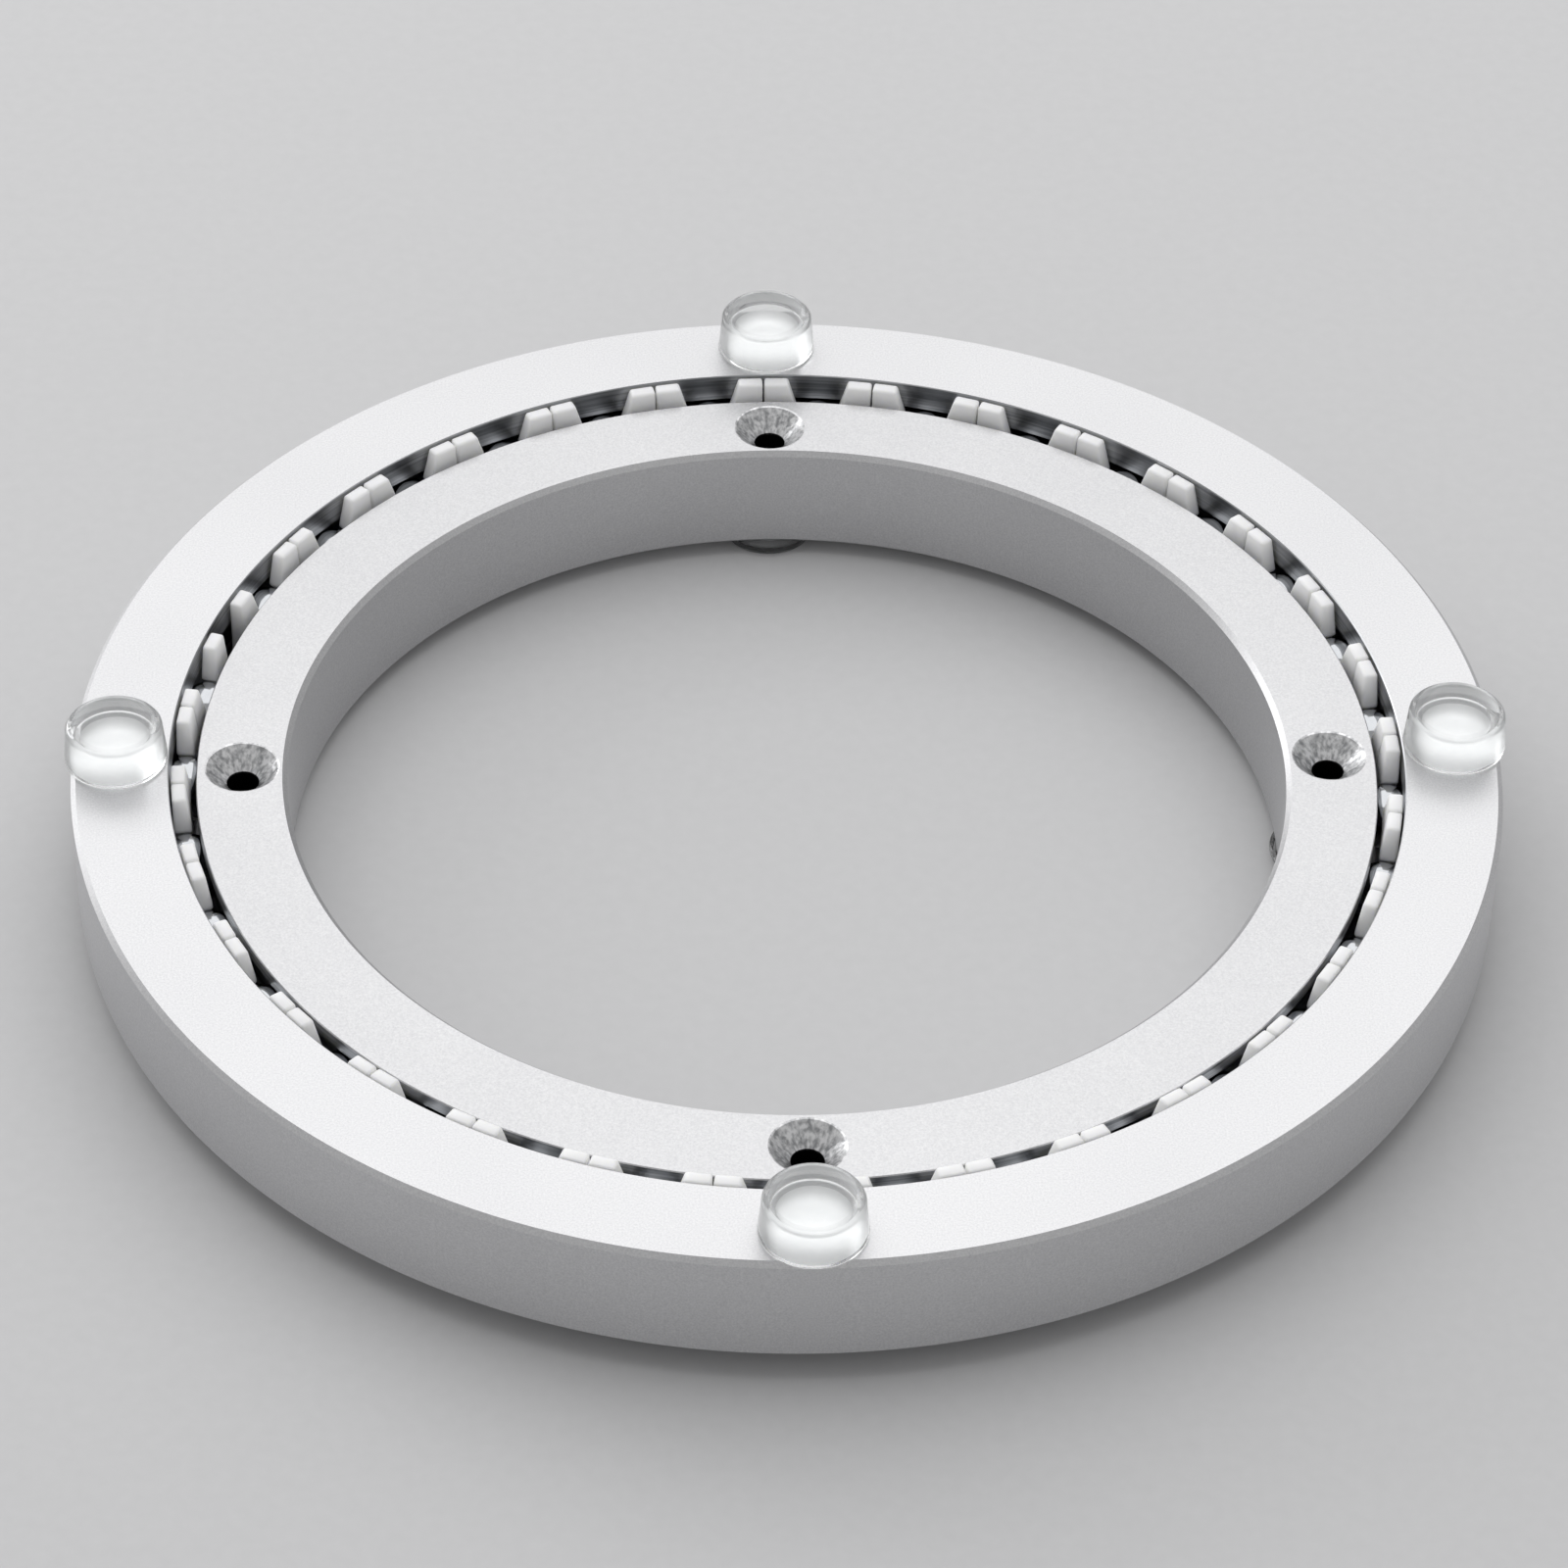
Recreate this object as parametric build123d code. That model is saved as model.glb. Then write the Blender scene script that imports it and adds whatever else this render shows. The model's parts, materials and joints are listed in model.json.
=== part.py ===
from build123d import *
import math
import os

# Two-ring turntable bearing: a raised outer ring turns round a fixed inner ring on a train of
# caged steel balls. Millimetres, +Z up, origin on the axis at the underside of the foot pads.

# Rings
outer_d = 140.0
outer_width = 9.5
race_gap = 2.6
inner_width = 8.9
ring_h = 12.0
ring_step = 1.5
edge_chamfer = 0.5
gap_break = 0.1

# Balls and their grooves
ball_d = 6.35
groove_clearance = 0.15

# Cage links
link_count = 32
train_slack = 4.4
link_end_gap = 0.2
link_in_clearance = 0.65
link_out_clearance = 0.2
pocket_clearance = 0.12
pocket_mouth_deg = 82.0
horn_len = 2.5
horn_drop = 0.1
horn_taper = 0.35
horn_taper_h = 3.0
horn_edge = 0.35
open_joint_deg = 159.3

# Screw holes, one on each side, over a foot pad
sides = ("right", "back", "left", "front")
hole_d = 3.2
sink_d = 7.2
sink_deg = 90.0

# Pads, one on each side of each ring
pad_d = 10.1
pad_h = 4.0
pad_overhang = 0.7
foot_h = 1.5
pad_base_edge = 0.3
pad_draft = 0.3
pad_lip = 0.2
pad_shoulder = 0.4
dish_depth = 0.5
dish_wall = 1.1

# Radii and heights that follow from the sizes above
outer_r = outer_d / 2
outer_in_r = outer_r - outer_width
inner_out_r = outer_in_r - race_gap
bore_r = inner_out_r - inner_width
pitch_r = (outer_in_r + inner_out_r) / 2
inner_z = foot_h
outer_z = inner_z + ring_step
outer_top = outer_z + ring_h
inner_top = inner_z + ring_h
ball_z = outer_z + ring_h / 2
ball_r = ball_d / 2
groove_r = ball_r + groove_clearance
pocket_r = ball_r + pocket_clearance
hole_circle_r = (bore_r + inner_out_r) / 2
pad_r = pad_d / 2
pad_circle_r = outer_r + pad_overhang - pad_r


# A ring is one turned section, with the ball groove cut by a circle centred on the ball.
def turned_ring(r_in, r_out, z_low, in_edge, out_edge):
    z_high = z_low + ring_h
    section = Polyline(
        (r_in + in_edge, z_low),
        (r_out - out_edge, z_low),
        (r_out, z_low + out_edge),
        (r_out, z_high - out_edge),
        (r_out - out_edge, z_high),
        (r_in + in_edge, z_high),
        (r_in, z_high - in_edge),
        (r_in, z_low + in_edge),
        close=True,
    )
    grooved = make_face(section) - Pos(pitch_r, ball_z) * Circle(groove_r)
    return revolve(Plane.XZ * grooved, Axis.Z)


outer_ring = turned_ring(outer_in_r, outer_r, outer_z, gap_break, edge_chamfer)
inner_ring = turned_ring(bore_r, inner_out_r, inner_z, edge_chamfer, gap_break)

# Countersunk screw holes, drilled from the inner ring's top face.
screw_hole = CounterSinkHole(
    radius=hole_d / 2,
    counter_sink_radius=sink_d / 2,
    depth=ring_h,
    counter_sink_angle=sink_deg,
    mode=Mode.PRIVATE,
)
inner_ring -= Pos(0, 0, inner_top) * PolarLocations(hole_circle_r, len(sides)) * screw_hole


# A pad is turned too: a rounded shoulder, a raised lip and a shallow dish inside it.
def turned_pad(height):
    top_r = pad_r - pad_draft - pad_shoulder
    dish_r = top_r - pad_lip
    foot = Polyline(
        (0, 0),
        (pad_r - pad_base_edge, 0),
        (pad_r, pad_base_edge),
        (pad_r - pad_draft, height - pad_shoulder),
    )
    shoulder = RadiusArc(foot @ 1, (top_r, height), -pad_shoulder)
    dish = Polyline(
        (top_r, height),
        (dish_r, height),
        (dish_r - dish_wall, height - dish_depth),
        (0, height - dish_depth),
        (0, 0),
    )
    return revolve(Plane.XZ * make_face(foot + shoulder + dish), Axis.Z)


board_pad = turned_pad(pad_h)
foot_pad = Rot(180, 0, 0) * turned_pad(foot_h)

# One cage link, centred on +X: a ring sector with radial ends, a tapered top and, cut through it,
# the saddle between two horns and the round pocket that the ball snaps into.
slack_deg = math.degrees(train_slack / pitch_r)
link_pitch_deg = (360 - slack_deg) / link_count
link_deg = link_pitch_deg - math.degrees(link_end_gap / pitch_r)
link_in_r = inner_out_r + link_in_clearance
link_out_r = outer_in_r - link_out_clearance
link_t = link_out_r - link_in_r
link_top = outer_top - horn_drop
link_low = outer_z + horn_drop
link_section = Polyline(
    (link_in_r, link_low),
    (link_out_r, link_low),
    (link_out_r, link_top),
    (link_in_r + horn_taper, link_top),
    (link_in_r, link_top - horn_taper_h),
    close=True,
)
link_bar = revolve(Plane.XZ * make_face(link_section), Axis.Z, link_deg)
link_bar = Rot(0, 0, -link_deg / 2) * link_bar

mouth_y = pocket_r * math.sin(math.radians(pocket_mouth_deg / 2))
mouth_z = pocket_r * math.cos(math.radians(pocket_mouth_deg / 2))
saddle_y = pitch_r * math.radians(link_deg / 2) - horn_len
saddle_z = link_top - ball_z
saddle = make_face(
    Polyline(
        (-mouth_y, mouth_z),
        (mouth_y, mouth_z),
        (saddle_y, saddle_z),
        (-saddle_y, saddle_z),
        close=True,
    )
)
through = Plane((link_in_r - link_t, 0, ball_z), x_dir=(0, 1, 0), z_dir=(1, 0, 0))
cage_link = link_bar - extrude(through * (saddle + Circle(pocket_r)), 3 * link_t)
horn_edges = cage_link.edges().filter_by(GeomType.LINE).filter_by_position(Axis.Z, link_top, link_top)
cage_link = chamfer(horn_edges, horn_edge)

ball = Pos(pitch_r, 0, ball_z) * Sphere(ball_r)

# Write each piece in its place. The train starts past the open joint, where its slack has collected.
os.makedirs("parts", exist_ok=True)
export_step(outer_ring, "parts/outer_ring.step")
export_step(inner_ring, "parts/inner_ring.step")

for number, side in enumerate(sides):
    turn = Rot(0, 0, number * 360 / len(sides))
    on_top = turn * Pos(pad_circle_r, 0, outer_top)
    export_step(on_top * board_pad, f"parts/top_pad_{side}.step")
    below = turn * Pos(hole_circle_r, 0, inner_z)
    export_step(below * foot_pad, f"parts/foot_pad_{side}.step")

balls = []
for number in range(link_count):
    turn = open_joint_deg + slack_deg / 2 + (number + 0.5) * link_pitch_deg
    export_step(Rot(0, 0, turn) * cage_link, f"parts/cage_link_{number + 1:02d}.step")
    balls.append(Rot(0, 0, turn) * ball)
export_step(Compound(children=balls), "parts/steel_balls.step")
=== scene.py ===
import json
import math

import bpy
from mathutils import Matrix, Vector


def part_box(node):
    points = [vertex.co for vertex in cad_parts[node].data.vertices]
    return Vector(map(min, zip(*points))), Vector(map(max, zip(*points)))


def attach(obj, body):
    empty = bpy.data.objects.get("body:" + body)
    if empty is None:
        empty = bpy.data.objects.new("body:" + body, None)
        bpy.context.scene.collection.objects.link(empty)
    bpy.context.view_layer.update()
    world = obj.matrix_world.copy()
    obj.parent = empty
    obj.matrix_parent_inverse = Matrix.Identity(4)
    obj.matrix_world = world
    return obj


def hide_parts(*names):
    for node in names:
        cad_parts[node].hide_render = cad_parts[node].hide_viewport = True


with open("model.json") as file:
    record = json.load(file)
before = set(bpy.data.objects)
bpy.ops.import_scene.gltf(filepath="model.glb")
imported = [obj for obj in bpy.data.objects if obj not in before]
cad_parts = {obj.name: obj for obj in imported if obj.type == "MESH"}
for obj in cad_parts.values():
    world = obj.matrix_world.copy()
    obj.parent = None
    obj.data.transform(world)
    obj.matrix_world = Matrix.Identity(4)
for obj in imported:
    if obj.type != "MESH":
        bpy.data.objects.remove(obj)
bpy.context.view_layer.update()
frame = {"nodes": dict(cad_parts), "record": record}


# Inner ring: the fixed half of the bearing, turned from aluminium plate with a ball groove in its
# outer wall, bead-blasted, clear anodised, then drilled and countersunk for four screws.
mm = 0.001
mounts = {mount["name"]: mount for mount in frame["record"]["mounts"]}
inner_low, inner_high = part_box("inner_ring")
balls_low, balls_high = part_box("steel_balls")
inner_out_r = inner_high.x
bore_r = mounts["centre_bore"]["dims"]["r_mm"] * mm
edge_chamfer = 0.5 * mm
gap_break = 0.1 * mm
race_gap = 2.6 * mm
groove_clearance = 0.15 * mm
pitch_r = inner_out_r + race_gap / 2
ball_r = (balls_high.z - balls_low.z) / 2
ball_z = (balls_high.z + balls_low.z) / 2
groove_r = ball_r + groove_clearance
groove_steps = 24
ring_segments = 360


def add(tree, kind, inputs=None, **settings):
    """Adds a node with its settings, and sets or links its inputs by name or number."""
    made = tree.nodes.new(kind)
    for name, value in settings.items():
        setattr(made, name, value)
    for key, value in (inputs or {}).items():
        if isinstance(value, bpy.types.NodeSocket):
            tree.links.new(value, made.inputs[key])
        else:
            made.inputs[key].default_value = value
    return made


def calc(tree, operation, *values):
    """The result of one sum on numbers or sockets."""
    return add(tree, "ShaderNodeMath", dict(enumerate(values)), operation=operation).outputs[0]


def srgb(code):
    """Linear colour of an sRGB hex value."""
    parts = [int(code[i:i + 2], 16) / 255 for i in (1, 3, 5)]
    return [c / 12.92 if c <= 0.04045 else ((c + 0.055) / 1.055) ** 2.4 for c in parts] + [1.0]


def new_material(name):
    """An empty procedural material and its node tree, with the place on the piece to paint by."""
    material = bpy.data.materials.new(name)
    material.use_nodes = True
    tree = material.node_tree
    tree.nodes.clear()
    return material, tree, add(tree, "ShaderNodeTexCoord").outputs["Object"]


def noise(tree, place, size, detail, roughness=0.5):
    """A cloudy pattern from 0 to 1, with marks of about the given size."""
    look = {"Vector": place, "Scale": 1 / size, "Detail": detail, "Roughness": roughness}
    return add(tree, "ShaderNodeTexNoise", look).outputs["Fac"]


def two_tone(tree, pattern, dark, light):
    """A colour that a pattern takes from dark to light, both given as sRGB hex values."""
    shades = {"Factor": pattern, "A": srgb(dark), "B": srgb(light)}
    return add(tree, "ShaderNodeMix", shades, data_type="RGBA").outputs[2]


def surface(tree, inputs):
    """Ends a material with its shader and output."""
    shader = add(tree, "ShaderNodeBsdfPrincipled", inputs)
    add(tree, "ShaderNodeOutputMaterial", {"Surface": shader.outputs[0]})


def blasted_aluminium(name, light, dark):
    """Bead-blasted, clear anodised aluminium: a pale satin metal with a fine even sparkle."""
    material, tree, place = new_material(name)
    # The real dents are about 0.06 mm wide. They are drawn coarser, so that the sparkle shows.
    dent = 0.2 * mm
    cloud = 20 * mm
    dents = noise(tree, place, dent, 2.0, 0.7)
    faint = calc(tree, "MULTIPLY", noise(tree, place, cloud, 1.0), 0.15)
    mottle = calc(tree, "ADD", dents, faint)
    tone = add(tree, "ShaderNodeMapRange", {"Value": mottle, "From Min": 0.35, "From Max": 0.8})
    satin = add(tree, "ShaderNodeMapRange", {"Value": dents, "To Min": 0.36, "To Max": 0.46})
    pits = add(tree, "ShaderNodeBump", {"Height": dents, "Strength": 0.18, "Distance": 0.03 * mm})
    surface(
        tree,
        {
            "Base Color": two_tone(tree, tone.outputs[0], dark, light),
            "Roughness": satin.outputs[0],
            "Normal": pits.outputs[0],
            "Metallic": 1.0,
        },
    )
    return material


def turned_aluminium(name, light, dark):
    """Bare turned aluminium of the ball race: the tool leaves fine lines that run round the wall."""
    material, tree, place = new_material(name)
    # The real lines are about 0.1 mm apart. They are drawn coarser, so that they show in the gap.
    line_height = 0.3 * mm
    line_length = 14 * mm
    stretch = (1 / line_length, 1 / line_length, 1 / line_height)
    stretched = add(tree, "ShaderNodeMapping", {"Vector": place, "Scale": stretch})
    lines = noise(tree, stretched.outputs[0], 1.0, 4.0)
    tone = add(tree, "ShaderNodeMapRange", {"Value": lines, "From Min": 0.3, "From Max": 0.7})
    ridges = add(tree, "ShaderNodeBump", {"Height": lines, "Strength": 0.25, "Distance": 0.08 * mm})
    surface(
        tree,
        {
            "Base Color": two_tone(tree, tone.outputs[0], dark, light),
            "Normal": ridges.outputs[0],
            "Metallic": 1.0,
            "Roughness": 0.34,
        },
    )
    return material


def drilled_aluminium(name, light, dark, bore_shade, sink_floor):
    """Bare countersunk aluminium: a chattering cutter tears radial flecks. Down the drilled hole the colour
    turns dark grey, which is painted shade.
    """
    material, tree, place = new_material(name)
    flecks_round = 38
    fleck_deep = 0.45 * mm
    bore_shade_fade = 0.3 * mm
    from_axis = add(tree, "ShaderNodeAttribute", attribute_name="turned_at").outputs["Vector"]
    heading = add(tree, "ShaderNodeVectorMath", {0: from_axis}, operation="NORMALIZE")
    depth = add(tree, "ShaderNodeVectorMath", {0: place, 1: (0, 0, 1 / fleck_deep)}, operation="MULTIPLY")
    turn = flecks_round / (2 * math.pi)
    rolled = add(
        tree,
        "ShaderNodeVectorMath",
        {0: heading.outputs[0], 1: (turn, turn, 0), 2: depth.outputs[0]},
        operation="MULTIPLY_ADD",
    )
    flecks = noise(tree, rolled.outputs[0], 1.0, 3.0)
    tone = add(tree, "ShaderNodeMapRange", {"Value": flecks, "From Min": 0.34, "From Max": 0.62})
    torn_colour = two_tone(tree, tone.outputs[0], dark, light)
    # Painted shade: below the countersink's floor the colour fades into a dark grey, for the shade down the
    # drilled hole.
    height = add(tree, "ShaderNodeSeparateXYZ", {0: place})
    deep = {"Value": height.outputs["Z"], "From Min": sink_floor, "From Max": sink_floor - bore_shade_fade}
    down_bore_shade = add(tree, "ShaderNodeMapRange", deep)
    shades = {"Factor": down_bore_shade.outputs[0], "A": torn_colour, "B": srgb(bore_shade)}
    colour = add(tree, "ShaderNodeMix", shades, data_type="RGBA")
    torn = add(tree, "ShaderNodeBump", {"Height": flecks, "Strength": 0.5, "Distance": 0.1 * mm})
    surface(
        tree,
        {
            "Base Color": colour.outputs[2],
            "Normal": torn.outputs[0],
            "Metallic": 1.0,
            "Roughness": 0.34,
        },
    )
    return material


def new_tree(name, *inputs):
    """An empty Geometry Nodes tree with named inputs, and the sockets that give them."""
    tree = bpy.data.node_groups.new(name, "GeometryNodeTree")
    tree.interface.new_socket("Geometry", in_out="INPUT", socket_type="NodeSocketGeometry")
    for label, kind in inputs:
        tree.interface.new_socket(label, in_out="INPUT", socket_type=kind)
    tree.interface.new_socket("Geometry", in_out="OUTPUT", socket_type="NodeSocketGeometry")
    return tree, add(tree, "NodeGroupInput").outputs


def paint(tree, geometry, material):
    """Ends a Geometry Nodes tree: makes its copies real and gives them the material asked for."""
    real = add(tree, "GeometryNodeRealizeInstances", {"Geometry": geometry})
    coat = {"Geometry": real.outputs[0], "Material": material}
    painted = add(tree, "GeometryNodeSetMaterial", coat)
    add(tree, "NodeGroupOutput", {"Geometry": painted.outputs[0]})


# Turning: each corner of a grid takes its radius and height from one point of the section, and its
# angle from its row. A ring's section closes on itself, and a disc's ends on the axis.
turning, given = new_tree(
    "turn_section",
    ("Closed", "NodeSocketInt"),
    ("Segments", "NodeSocketInt"),
    ("Material", "NodeSocketMaterial"),
)
section = given["Geometry"]
counted = add(turning, "GeometryNodeAttributeDomainSize", {"Geometry": section}, component="MESH")
points = counted.outputs["Point Count"]
columns = calc(turning, "ADD", points, given["Closed"])
rows = calc(turning, "ADD", given["Segments"], 1.0)
grid = add(turning, "GeometryNodeMeshGrid", {"Vertices X": columns, "Vertices Y": rows})
index = add(turning, "GeometryNodeInputIndex").outputs[0]
column = calc(turning, "FLOOR", calc(turning, "DIVIDE", index, rows))
row = calc(turning, "MODULO", index, rows)
place = add(turning, "GeometryNodeInputPosition").outputs[0]
corner = add(
    turning,
    "GeometryNodeSampleIndex",
    {"Geometry": section, "Value": place, "Index": calc(turning, "MODULO", column, points)},
    data_type="FLOAT_VECTOR",
)
section_point = add(turning, "ShaderNodeSeparateXYZ", {0: corner.outputs["Value"]})
radius = section_point.outputs["X"]
angle = calc(turning, "MULTIPLY", row, calc(turning, "DIVIDE", 2 * math.pi, given["Segments"]))
turned_x = calc(turning, "MULTIPLY", radius, calc(turning, "COSINE", angle))
turned_y = calc(turning, "MULTIPLY", radius, calc(turning, "SINE", angle))
turned_place = add(
    turning,
    "ShaderNodeCombineXYZ",
    {"X": turned_x, "Y": turned_y, "Z": section_point.outputs["Z"]},
)
swept = add(
    turning,
    "GeometryNodeSetPosition",
    {"Geometry": grid.outputs["Mesh"], "Position": turned_place.outputs[0]},
)
marked = add(
    turning,
    "GeometryNodeStoreNamedAttribute",
    {"Geometry": swept.outputs[0], "Name": "turned_at", "Value": place},
    data_type="FLOAT2",
    domain="CORNER",
)
seam = {"Geometry": marked.outputs[0], "Distance": 0.0001 * mm}
whole = add(turning, "GeometryNodeMergeByDistance", seam)
outwards = add(turning, "GeometryNodeFlipFaces", {"Mesh": whole.outputs[0]})
paint(turning, outwards.outputs[0], given["Material"])


def settle(piece, sharp_deg=16):
    """Turns a piece and its modifiers into one plain mesh, smooth up to its sharp edges."""
    graph = bpy.context.evaluated_depsgraph_get()
    mesh = bpy.data.meshes.new_from_object(piece.evaluated_get(graph))
    piece.modifiers.clear()
    piece.data = mesh
    if mesh.materials and mesh.materials[0] is None:
        mesh.materials.pop(index=0)
    mesh.shade_smooth()
    mesh.set_sharp_from_angle(angle=math.radians(sharp_deg))
    return piece


def new_piece(name, corners, faces=()):
    """An object at the origin, from its corners and faces in the row frame."""
    mesh = bpy.data.meshes.new(name)
    mesh.from_pydata(corners, [], faces)
    piece = bpy.data.objects.new(name, mesh)
    bpy.context.scene.collection.objects.link(piece)
    return piece


def through(piece, tree, values, sharp_deg=16):
    """Runs a piece through a Geometry Nodes tree, with the tree's inputs set by name."""
    modifier = piece.modifiers.new(tree.name, "NODES")
    modifier.node_group = tree
    for socket in tree.interface.items_tree:
        if socket.in_out == "INPUT" and socket.name in values:
            modifier[socket.identifier] = values[socket.name]
    return settle(piece, sharp_deg)


def turned(name, section, segments, material):
    """A solid turned from its section, (radius, height) points in a loop or from axis to axis."""
    piece = new_piece(name, [(r, 0, z) for r, z in section])
    on_axis = 0.001 * mm
    closed = int(section[0][0] > on_axis)
    return through(piece, turning, {"Closed": closed, "Segments": segments, "Material": material})


def arc(centre_r, centre_z, radius, start, end, steps):
    """Points of a round stretch of a section, both ends included. Angles are in radians."""
    angles = [start + (end - start) * n / steps for n in range(steps + 1)]
    return [(centre_r + radius * math.cos(a), centre_z + radius * math.sin(a)) for a in angles]


# The section runs out along the underside, up the outer wall round its groove, and back over the top.
groove_lean = math.acos((pitch_r - inner_out_r) / groove_r)
inner_section = [
    (bore_r + edge_chamfer, inner_low.z),
    (inner_out_r - gap_break, inner_low.z),
    (inner_out_r, inner_low.z + gap_break),
    *arc(pitch_r, ball_z, groove_r, math.pi + groove_lean, math.pi - groove_lean, groove_steps),
    (inner_out_r, inner_high.z - gap_break),
    (inner_out_r - gap_break, inner_high.z),
    (bore_r + edge_chamfer, inner_high.z),
    (bore_r, inner_high.z - edge_chamfer),
    (bore_r, inner_low.z + edge_chamfer),
]
inner_finish = blasted_aluminium("inner_bead_blasted_aluminium", "#D2D2D3", "#BCBCBE")
race_finish = turned_aluminium("turned_race_aluminium", "#CDCED0", "#8C8E91")
inner_ring = turned("turned_inner_ring", inner_section, ring_segments, inner_finish)

# Each screw hole is a turned cutter, set round the ring, that the ring is cut by.
hole_circle_r = mounts["screw_holes"]["dims"]["pcd_mm"] / 2 * mm
hole_count = mounts["screw_holes"]["dims"]["count"]
hole_r = mounts["screw_holes"]["dims"]["hole_r_mm"] * mm
hole_segments = 96
sink_r = 3.6 * mm
sink_edge = 0.08 * mm
spare = 1.0 * mm
sink_floor = inner_high.z - (sink_r - hole_r)
drill_finish = drilled_aluminium(
    "countersunk_bare_aluminium",
    light="#E6E6E7",
    dark="#9C9D9F",
    # This dark grey is painted shade down the screw holes.
    bore_shade="#3A3B3D",
    sink_floor=sink_floor,
)
sink_section = [
    (0.0, inner_low.z - spare),
    (hole_r, inner_low.z - spare),
    (hole_r, sink_floor),
    (sink_r - sink_edge, inner_high.z - sink_edge),
    (sink_r + sink_edge, inner_high.z),
    (sink_r + sink_edge, inner_high.z + spare),
    (0.0, inner_high.z + spare),
]
cutter = turned("screw_hole_cutter", sink_section, hole_segments, drill_finish)
cutter.data.transform(Matrix.Translation((hole_circle_r, 0, 0)))

# Round pattern: the tree sets copies of a piece round the axis, from a first angle, a step apart.
round_pattern, given = new_tree(
    "set_round_axis",
    ("Count", "NodeSocketInt"),
    ("First Angle", "NodeSocketFloat"),
    ("Step Angle", "NodeSocketFloat"),
    ("Material", "NodeSocketMaterial"),
)
spots = add(round_pattern, "GeometryNodePoints", {"Count": given["Count"]})
number = add(round_pattern, "GeometryNodeInputIndex").outputs[0]
past_first = calc(round_pattern, "MULTIPLY", number, given["Step Angle"])
angle = calc(round_pattern, "ADD", past_first, given["First Angle"])
about_z = add(round_pattern, "FunctionNodeAxisAngleToRotation", {"Axis": (0, 0, 1), "Angle": angle})
copies = add(
    round_pattern,
    "GeometryNodeInstanceOnPoints",
    {"Points": spots.outputs[0], "Instance": given["Geometry"], "Rotation": about_z.outputs[0]},
)
paint(round_pattern, copies.outputs[0], given["Material"])


def set_round(piece, count, material, first=0.0, step=None, sharp_deg=16):
    """Sets copies of a piece round the axis, evenly unless a step is given."""
    spread = {"Count": count, "First Angle": first, "Step Angle": step or 2 * math.pi / count}
    return through(piece, round_pattern, {"Material": material, **spread}, sharp_deg)


set_round(cutter, hole_count, drill_finish)
cut = inner_ring.modifiers.new("screw_holes", "BOOLEAN")
cut.object = cutter
cut.solver = "EXACT"
cut.material_mode = "TRANSFER"
settle(inner_ring)
bpy.data.objects.remove(cutter)


def finish_race(ring, wall_r):
    """Gives the wall that faces the gap, and the ball groove in it, the race's turned finish."""
    ring.data.materials.append(race_finish)
    race = len(ring.data.materials) - 1
    close = 0.05 * mm
    for face in ring.data.polygons:
        r = math.hypot(face.center.x, face.center.y)
        from_ball = math.hypot(r - pitch_r, face.center.z - ball_z)
        if abs(from_ball - groove_r) < close or abs(r - wall_r) < close:
            face.material_index = race


finish_race(inner_ring, inner_out_r)
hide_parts("inner_ring")
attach(inner_ring, "base")


# Foot pads: thin discs of cast clear silicone, stuck under the inner ring below each screw hole, so
# that the base board doesn't get scratched and the ring doesn't slide.
sides = ["right", "back", "left", "front"]
foot_pads = [f"foot_pad_{side}" for side in sides]
pad_low, pad_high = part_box("foot_pad_right")
pad_r = 5.05 * mm
pad_base_edge = 0.3 * mm
pad_draft = 0.3 * mm
pad_shoulder = 0.4 * mm
pad_lip = 0.2 * mm
dish_depth = 0.5 * mm
bowl_reach = 2.0 * mm
pad_segments = 72
bowl_steps = 16
round_steps = 10
# A pad stops a hair short of its ring. Past the glue's edge, that film of air shows as a grey border.
air_film = 0.01 * mm
glue_r = 4.1 * mm


def clear_silicone(name):
    """Cast clear silicone: see-through, with a soft gloss that is duller in some places."""
    material, tree, place = new_material(name)
    bloom = 1.2 * mm
    haze = noise(tree, place, bloom, 2.0)
    gloss = add(tree, "ShaderNodeMapRange", {"Value": haze, "To Min": 0.06, "To Max": 0.12})
    surface(
        tree,
        {
            "Base Color": two_tone(tree, haze, "#FAFCFC", "#FFFFFF"),
            "Roughness": gloss.outputs[0],
            "IOR": 1.41,
            "Transmission Weight": 1.0,
        },
    )
    return material


def pad_section(height):
    """Section of a pad, its glued side at zero: drafted wall, round shoulder, lip, soft bowl."""
    top_r = pad_r - pad_draft - pad_shoulder
    lean = math.atan2(pad_draft, height - pad_shoulder - pad_base_edge)
    slope = []
    for n in range(bowl_steps):
        share = n / bowl_steps
        fall = dish_depth * (1 - (1 - share) ** 3)
        slope.append((top_r - pad_lip - bowl_reach * share, height - fall))
    return [
        (0.0, air_film),
        (glue_r, air_film),
        (pad_r - pad_base_edge, air_film),
        *arc(pad_r - pad_base_edge, pad_base_edge + air_film, pad_base_edge, -math.pi / 2, lean, round_steps),
        *arc(top_r, height - pad_shoulder, pad_shoulder, lean, math.pi / 2, round_steps),
        *slope,
        (0.0, height - dish_depth),
    ]


def brightened_glue_aluminium(name):
    """Blasted aluminium under clear glue, which fills the dents. Its colour is painted lighter than the bare
    ring: a painted highlight that whitens the middle of each pad.
    """
    material, tree, place = new_material(name)
    bubble = 0.6 * mm
    bubbles = noise(tree, place, bubble, 1.0)
    # Painted highlight: both tones are lighter than the bare blasted metal, so that the pads' middles read
    # white.
    surface(
        tree,
        {
            "Base Color": two_tone(tree, bubbles, "#E2E3E4", "#E9EAEA"),
            "Metallic": 1.0,
            "Roughness": 0.35,
        },
    )
    return material


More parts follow.
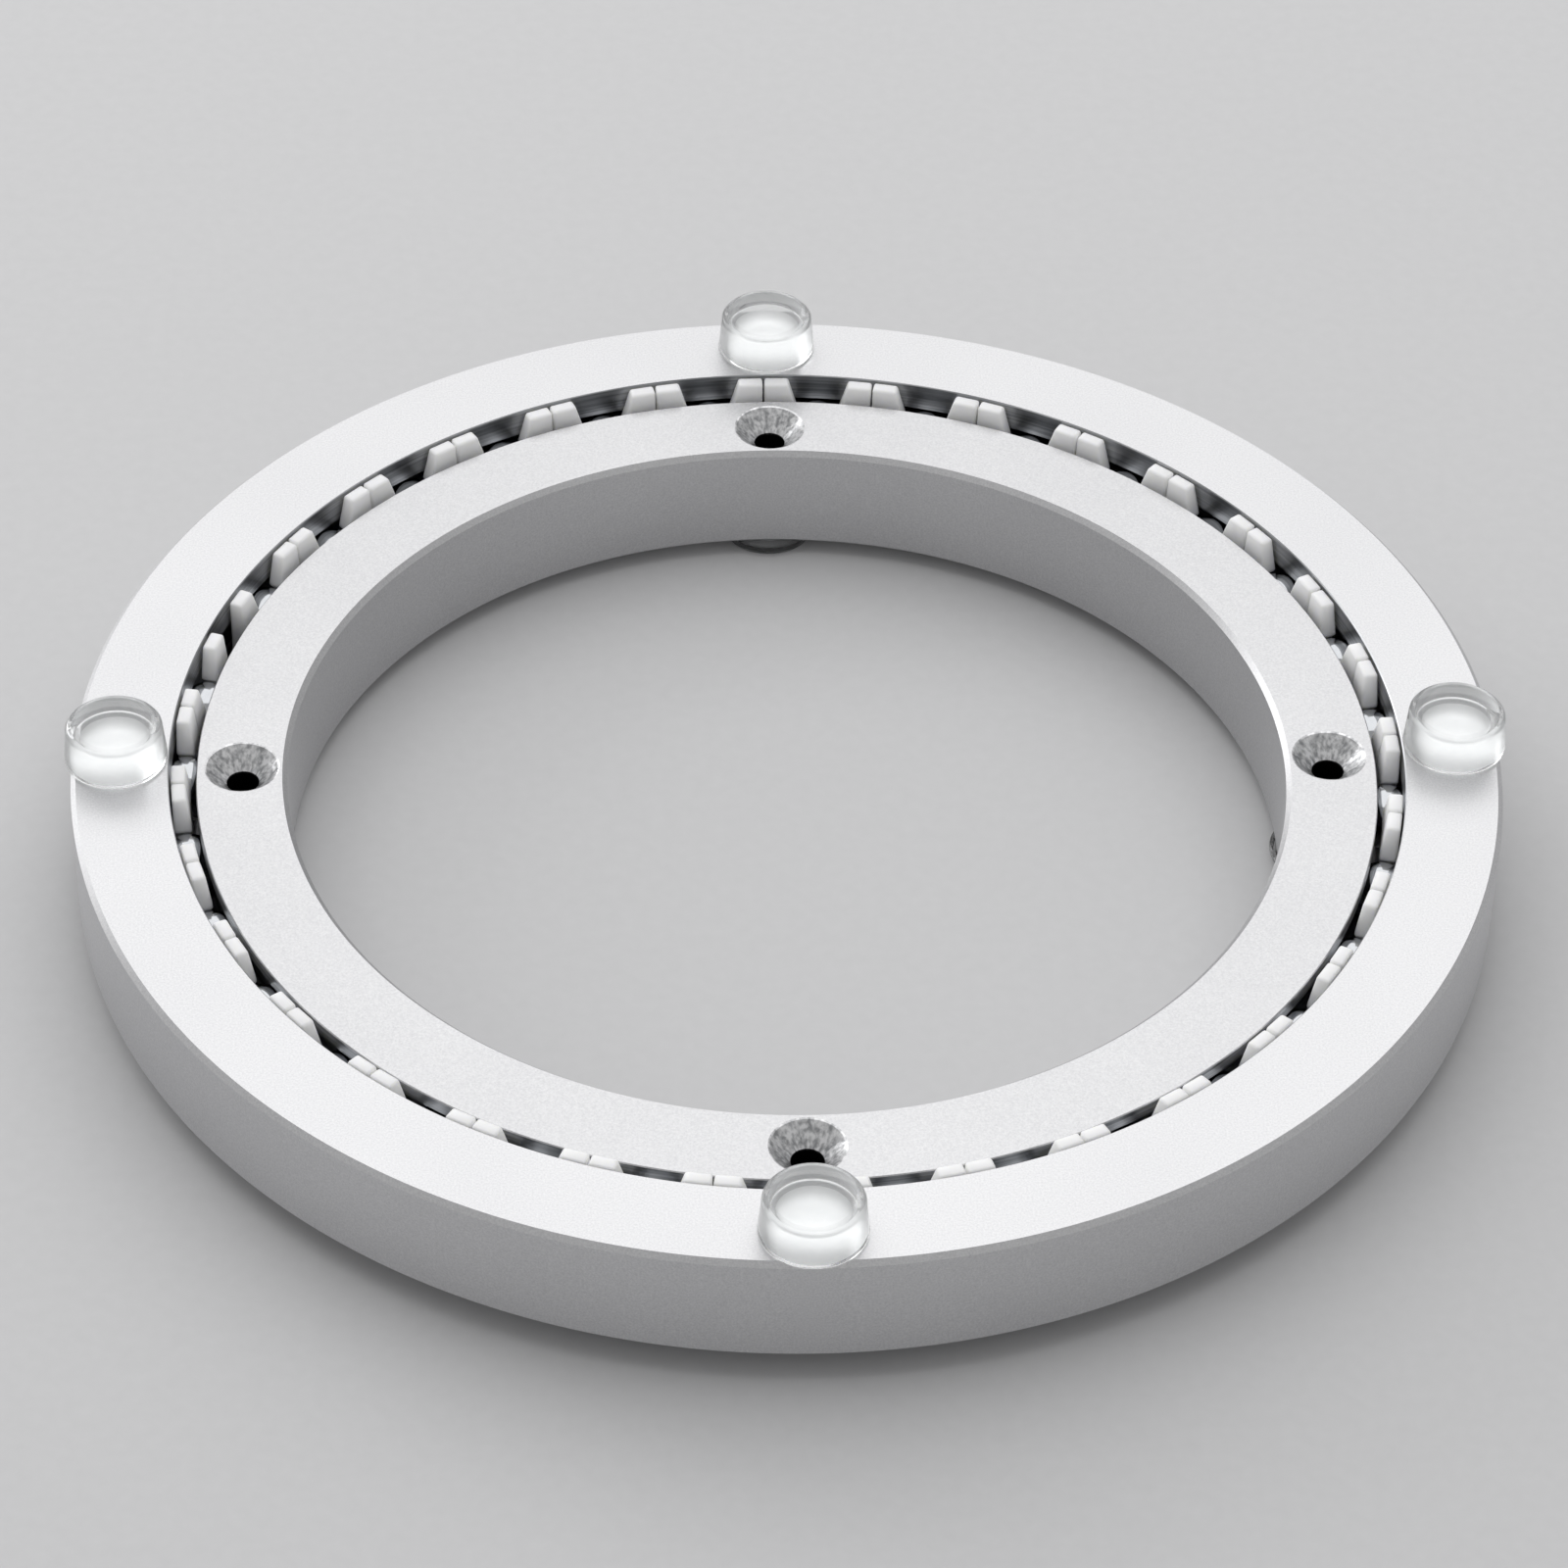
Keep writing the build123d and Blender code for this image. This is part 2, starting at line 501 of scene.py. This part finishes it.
def glue_down(pads, glued_z, from_axis):
    """Shows the glued metal, painted lighter, on the side that the pads are stuck by, inside the glue's edge.
    """
    pads.data.materials.append(glued_metal_painted_light)
    glued = len(pads.data.materials) - 1
    for face in pads.data.polygons:
        x, y = sorted((abs(face.center.x), abs(face.center.y)))
        if abs(face.center.z - glued_z) < 2 * air_film and math.hypot(x, y - from_axis) < glue_r:
            face.material_index = glued


# The glued metal is painted lighter than the bare ring, as a painted highlight inside the pads.
glued_metal_painted_light = brightened_glue_aluminium("glued_aluminium_painted_light")
pad_finish = clear_silicone("cast_clear_silicone")
foot_pad = turned("clear_foot_pads", pad_section(pad_high.z - pad_low.z), pad_segments, pad_finish)
upside_down = Matrix.Rotation(math.pi, 4, "X")
foot_pad.data.transform(Matrix.Translation((hole_circle_r, 0, pad_high.z)) @ upside_down)
set_round(foot_pad, len(sides), pad_finish)
glue_down(foot_pad, pad_high.z, hole_circle_r)
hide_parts(*foot_pads)
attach(foot_pad, "base")


# Cage links: a chain of white nylon mouldings in the gap. Each has a round pocket that its ball snaps
# into from above, between two horns that stand up at the link's ends and meet the next link's horn.
link_names = sorted(name for name in frame["nodes"] if name.startswith("cage_link_"))


def azimuths(node):
    """Least and greatest angle of a CAD node about the axis."""
    corners = [v.co for v in frame["nodes"][node].data.vertices]
    middle = math.atan2(sum(c.y for c in corners), sum(c.x for c in corners))
    turn = Matrix.Rotation(-middle, 3, "Z")
    angles = [math.atan2((turn @ c).y, (turn @ c).x) for c in corners]
    return middle + min(angles), middle + max(angles)


link_start, link_end = azimuths(link_names[0])
next_start, next_end = azimuths(link_names[1])
link_low, link_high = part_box(link_names[0])
link_in_clearance = 0.65 * mm
link_out_clearance = 0.2 * mm
pocket_clearance = 0.12 * mm
pocket_mouth = math.radians(82)
horn_len = 2.5 * mm
horn_taper = 0.35 * mm
horn_taper_h = 3.0 * mm
soft_edge = 0.28 * mm
soft_deg = 50
link_in_r = inner_out_r + link_in_clearance
link_out_r = inner_out_r + race_gap - link_out_clearance
half_link = pitch_r * (link_end - link_start) / 2
pocket_r = ball_r + pocket_clearance
mouth = (pocket_r * math.sin(pocket_mouth / 2), pocket_r * math.cos(pocket_mouth / 2))
horn_top = link_high.z - ball_z
link_foot = link_low.z - ball_z


def between(a, b, share):
    """The point a share of the way from a to b."""
    return tuple(p + (q - p) * share for p, q in zip(a, b))


def down_right_horn():
    """Pairs of points, pocket side and end side, from the right horn's top to the pocket's lowest point."""
    saddle_top = (half_link - horn_len, horn_top)
    taper_share = horn_taper_h / (horn_top - mouth[1])
    pairs = [
        (saddle_top, (half_link, horn_top)),
        (between(saddle_top, mouth, taper_share), (half_link, horn_top - horn_taper_h)),
    ]
    start = math.pi / 2 - pocket_mouth / 2
    corner = math.radians(-48)
    side_steps, foot_steps = 10, 8
    for n in range(side_steps + 1):
        a = start + (corner - start) * n / side_steps
        end_side = between((half_link, mouth[1]), (half_link, link_foot), n / side_steps)
        pairs.append(((pocket_r * math.cos(a), pocket_r * math.sin(a)), end_side))
    for n in range(1, foot_steps + 1):
        a = corner + (-math.pi / 2 - corner) * n / foot_steps
        end_side = between((half_link, link_foot), (0, link_foot), n / foot_steps)
        pairs.append(((pocket_r * math.cos(a), pocket_r * math.sin(a)), end_side))
    return pairs


def bent(along, up, wall):
    """A point of the straight link, bent round the axis. Along is a length on the pitch circle."""
    r = link_out_r
    if wall == "inner":
        lean = max(0.0, up - (horn_top - horn_taper_h)) / horn_taper_h
        r = link_in_r + horn_taper * lean
    a = along / pitch_r
    return r * math.cos(a), r * math.sin(a), ball_z + up


right = down_right_horn()
left = [((-p[0], p[1]), (-e[0], e[1])) for p, e in reversed(right[:-1])]
pairs = right + left
corners = []
for pocket_side, end_side in pairs:
    for wall in ("inner", "outer"):
        corners += [bent(*pocket_side, wall), bent(*end_side, wall)]
faces = []
for n in range(len(pairs) - 1):
    here, there = 4 * n, 4 * n + 4
    faces += [
        (here, here + 1, there + 1, there),
        (here + 2, there + 2, there + 3, here + 3),
        (here, there, there + 2, here + 2),
        (here + 1, here + 3, there + 3, there + 1),
    ]
last = 4 * (len(pairs) - 1)
faces += [(0, 2, 3, 1), (last, last + 1, last + 3, last + 2)]
link = new_piece("nylon_cage_links", corners, faces)


def moulded_nylon(name):
    """Moulded white nylon: a slightly warm, waxy white that light sinks into a little."""
    material, tree, place = new_material(name)
    flow = 2.5 * mm
    skin = 0.25 * mm
    flow_marks = noise(tree, place, flow, 2.0)
    grain = noise(tree, place, skin, 2.0)
    wax = add(tree, "ShaderNodeMapRange", {"Value": grain, "To Min": 0.38, "To Max": 0.52})
    skin_bump = add(tree, "ShaderNodeBump", {"Height": grain, "Strength": 0.06, "Distance": 0.04 * mm})
    surface(
        tree,
        {
            "Base Color": two_tone(tree, flow_marks, "#F6F6F4", "#FCFCFB"),
            "Roughness": wax.outputs[0],
            "Normal": skin_bump.outputs[0],
            "IOR": 1.53,
            "Subsurface Weight": 0.85,
            "Subsurface Radius": (1.8 * mm, 1.8 * mm, 1.6 * mm),
            "Subsurface Scale": 1.0,
        },
    )
    return material


nylon = moulded_nylon("moulded_white_nylon")
rounding = link.modifiers.new("soft_edges", "BEVEL")
rounding.width = soft_edge
rounding.segments = 3
rounding.angle_limit = math.radians(40)
settle(link, soft_deg)
first_link = (link_start + link_end) / 2
link_step = (next_start + next_end) / 2 - first_link
set_round(link, len(link_names), nylon, first_link, link_step, soft_deg)
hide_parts(*link_names)
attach(link, "ball_train")


# Balls: hardened steel bearing balls, ground and polished, one snapped into each cage link. They roll
# in the two grooves and carry the turning ring.
ball_rows = 28
ball_section = arc(0, ball_z, ball_r, -math.pi / 2, math.pi / 2, ball_rows)


def polished_steel(name):
    """Polished bearing steel: a near mirror, a little duller and darker in fine marks."""
    material, tree, place = new_material(name)
    mark = 0.5 * mm
    marks = noise(tree, place, mark, 6.0)
    gloss = add(tree, "ShaderNodeMapRange", {"Value": marks, "To Min": 0.05, "To Max": 0.14})
    surface(
        tree,
        {
            "Base Color": two_tone(tree, marks, "#B2B4B7", "#C0C2C5"),
            "Roughness": gloss.outputs[0],
            "Metallic": 1.0,
        },
    )
    return material


steel = polished_steel("polished_bearing_steel")
balls = turned("polished_balls", ball_section, 2 * ball_rows, steel)
balls.data.transform(Matrix.Translation((pitch_r, 0, 0)))
set_round(balls, len(link_names), steel, first_link, link_step)
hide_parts("steel_balls")
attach(balls, "ball_train")


# Outer ring: the turning half, made as the inner one is, with its groove in the inner wall. It stands
# a little higher, so that the board on its pads clears the fixed ring.
outer_low, outer_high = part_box("outer_ring")
outer_r = outer_high.x
outer_in_r = inner_out_r + race_gap
outer_section = [
    (outer_in_r + gap_break, outer_low.z),
    (outer_r - edge_chamfer, outer_low.z),
    (outer_r, outer_low.z + edge_chamfer),
    (outer_r, outer_high.z - edge_chamfer),
    (outer_r - edge_chamfer, outer_high.z),
    (outer_in_r + gap_break, outer_high.z),
    (outer_in_r, outer_high.z - gap_break),
    *arc(pitch_r, ball_z, groove_r, groove_lean, -groove_lean, groove_steps),
    (outer_in_r, outer_low.z + gap_break),
]
outer_finish = blasted_aluminium("outer_bead_blasted_aluminium", "#D9D9DA", "#C3C3C5")
outer_ring = turned("turned_outer_ring", outer_section, ring_segments, outer_finish)
finish_race(outer_ring, outer_in_r)
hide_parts("outer_ring")
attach(outer_ring, "turntable")


# Top pads: the same clear silicone, cast taller. Four are stuck on the outer ring's top face, where
# they grip the board and hold it clear of the fixed ring.
top_pads = [f"top_pad_{side}" for side in sides]
pad_low, pad_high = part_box("top_pad_right")
pad_circle_r = pad_high.x - pad_r
top_pad = turned("clear_top_pads", pad_section(pad_high.z - pad_low.z), pad_segments, pad_finish)
top_pad.data.transform(Matrix.Translation((pad_circle_r, 0, pad_low.z)))
set_round(top_pad, len(sides), pad_finish)
glue_down(top_pad, pad_low.z, pad_circle_r)
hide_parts(*top_pads)
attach(top_pad, "turntable")


# Studio: a pale paper floor that the bearing stands on, a large soft box high over its far side, a
# small one low at the back left that catches the countersinks, a soft fill all round, and the camera
# at the photograph's angle.
floor_half = 3.0
floor_corners = [
    (-floor_half, -floor_half, 0),
    (floor_half, -floor_half, 0),
    (floor_half, floor_half, 0),
    (-floor_half, floor_half, 0),
]
floor = new_piece("paper_floor", floor_corners, [(0, 1, 2, 3)])
paper, tree, place = new_material("pale_studio_paper")
fibre = 1.5 * mm
fibres = noise(tree, place, fibre, 3.0)
surface(tree, {"Base Color": two_tone(tree, fibres, "#C8C8C9", "#CECECF"), "Roughness": 0.9})
floor.data.materials.append(paper)


def soft_box(name, place, size, watts):
    """A square soft box that points at the bearing."""
    lamp = bpy.data.lights.new(name, "AREA")
    lamp.size = size
    lamp.energy = watts
    box = bpy.data.objects.new(name, lamp)
    bpy.context.scene.collection.objects.link(box)
    box.location = place
    box.rotation_euler = (-Vector(place)).to_track_quat("-Z", "Y").to_euler()


soft_box("back_soft_box", place=(-0.02, 0.46, 0.93), size=1.6, watts=8.6)
soft_box("left_soft_box", place=(-0.78, 0.76, 0.32), size=0.6, watts=3.0)

world = bpy.data.worlds.new("soft_fill")
bpy.context.scene.world = world
world.use_nodes = True
world.node_tree.nodes.clear()
fill = add(world.node_tree, "ShaderNodeBackground", {"Color": srgb("#F4F4F4"), "Strength": 0.56})
add(world.node_tree, "ShaderNodeOutputWorld", {"Surface": fill.outputs[0]})
bpy.context.scene.view_settings.view_transform = "Standard"

image_width = 1600
focal_px = 5902
look_down = math.radians(41.285)
look_roll = math.radians(1.243)
look_turn = math.radians(-2.8)
stand = Vector((-0.296, -428.54, 371.77)) * mm
camera = bpy.data.cameras.new("camera")
camera.sensor_width = 36
camera.lens = camera.sensor_width * focal_px / image_width
viewer = bpy.data.objects.new("camera", camera)
bpy.context.scene.collection.objects.link(viewer)
heading = Matrix.Rotation(look_turn, 4, "Z")
tilt = Matrix.Rotation(math.pi / 2 - look_down, 4, "X") @ Matrix.Rotation(look_roll, 4, "Z")
viewer.matrix_world = heading @ Matrix.Translation(stand + Vector((0, 0, outer_high.z))) @ tilt
bpy.context.scene.camera = viewer
